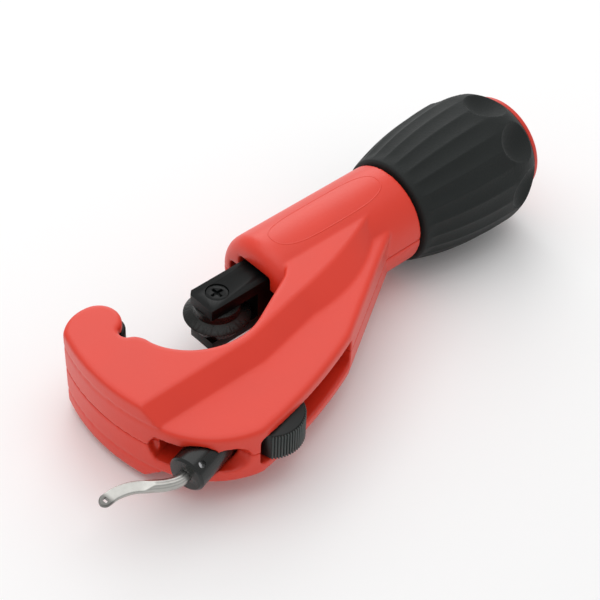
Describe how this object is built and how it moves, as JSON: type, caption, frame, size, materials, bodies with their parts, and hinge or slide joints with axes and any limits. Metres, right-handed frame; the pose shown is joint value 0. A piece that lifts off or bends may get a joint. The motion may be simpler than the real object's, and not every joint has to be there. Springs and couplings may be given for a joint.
{
  "type": "pipe cutter",
  "caption": "Hand pipe cutter with a C-shaped frame, guide rollers, a screw-fed cutting wheel turned by a rubber knob and a slide-out deburring blade.",
  "frame": {"origin": "midway between the two guide-roller axes, in the plane of the cutting wheel", "axes": "+X along the feed screw towards the knob, +Z along the pipe being cut, +Y towards the open side of the jaw"},
  "size_m": [0.18, 0.0683, 0.0414],
  "materials": {
    "red_paint": "satin red powder coat over die-cast alloy",
    "screw_steel": "zinc plated",
    "black_oxide_steel": "black oxide",
    "black_oxide_wheel": "ground and blackened",
    "bright_steel": "bright drawn",
    "nut_brass": "machined",
    "red_plastic": "moulded, semi-gloss",
    "grip_rubber": "soft matte rubber",
    "button_plastic": "moulded, ridged",
    "holder_plastic": "moulded, semi-gloss",
    "blade_steel": "hardened and ground"
  },
  "bodies": {
    "frame": {"frame_upper_half": "red_paint", "frame_lower_half": "red_paint", "frame_screws": "screw_steel", "tip_roller_pin": "bright_steel", "heel_roller_pin": "bright_steel", "thrust_washers": "bright_steel"},
    "tip_roller": {"tip_roller": "black_oxide_steel"},
    "heel_roller": {"heel_roller": "black_oxide_steel"},
    "knob": {"knob_core": "red_plastic", "knob_grip": "grip_rubber", "knob_end_cap": "red_plastic", "feed_nut": "nut_brass", "retaining_ring": "screw_steel"},
    "slide": {"cutter_slide": "black_oxide_steel", "wheel_axle_screw": "black_oxide_steel", "feed_screw": "bright_steel", "feed_screw_pin": "bright_steel"},
    "wheel": {"cutting_wheel": "black_oxide_wheel"},
    "reamer": {"slider_button": "button_plastic", "reamer_holder": "holder_plastic", "blade_set_screw": "bright_steel", "detent_ball": "bright_steel", "detent_spring": "bright_steel"},
    "blade": {"deburring_blade": "blade_steel"}
  },
  "joints": [
    {"name": "knob_turn", "type": "hinge", "parent": "frame", "child": "knob", "pos_m": [0.1, 0, 0], "axis": [1, 0, 0], "range_deg": [-2563.2, 2376]},
    {"name": "slide_feed", "type": "slide", "parent": "frame", "child": "slide", "axis": [1, 0, 0], "range_m": [-0.01782, 0.01652]},
    {"name": "wheel_spin", "type": "hinge", "parent": "slide", "child": "wheel", "pos_m": [0.032, 0, 0], "axis": [0, 0, 1], "continuous": true},
    {"name": "tip_roller_spin", "type": "hinge", "parent": "frame", "child": "tip_roller", "pos_m": [0, 0.0067, 0], "axis": [0, 0, 1], "continuous": true},
    {"name": "heel_roller_spin", "type": "hinge", "parent": "frame", "child": "heel_roller", "pos_m": [0, -0.0067, 0], "axis": [0, 0, 1], "continuous": true},
    {"name": "reamer_slide", "type": "slide", "parent": "frame", "child": "reamer", "axis": [0.9659, 0.2588, 0], "range_m": [0, 0.024]},
    {"name": "blade_swivel", "type": "hinge", "parent": "reamer", "child": "blade", "pos_m": [-0.0105, -0.0382, 0], "axis": [0.9659, 0.2588, 0], "range_deg": [-30, 0]}
  ],
  "couplings": [
    {"joint": "slide_feed", "follows": "knob_turn", "m_per_rad": 0.00039789}
  ]
}
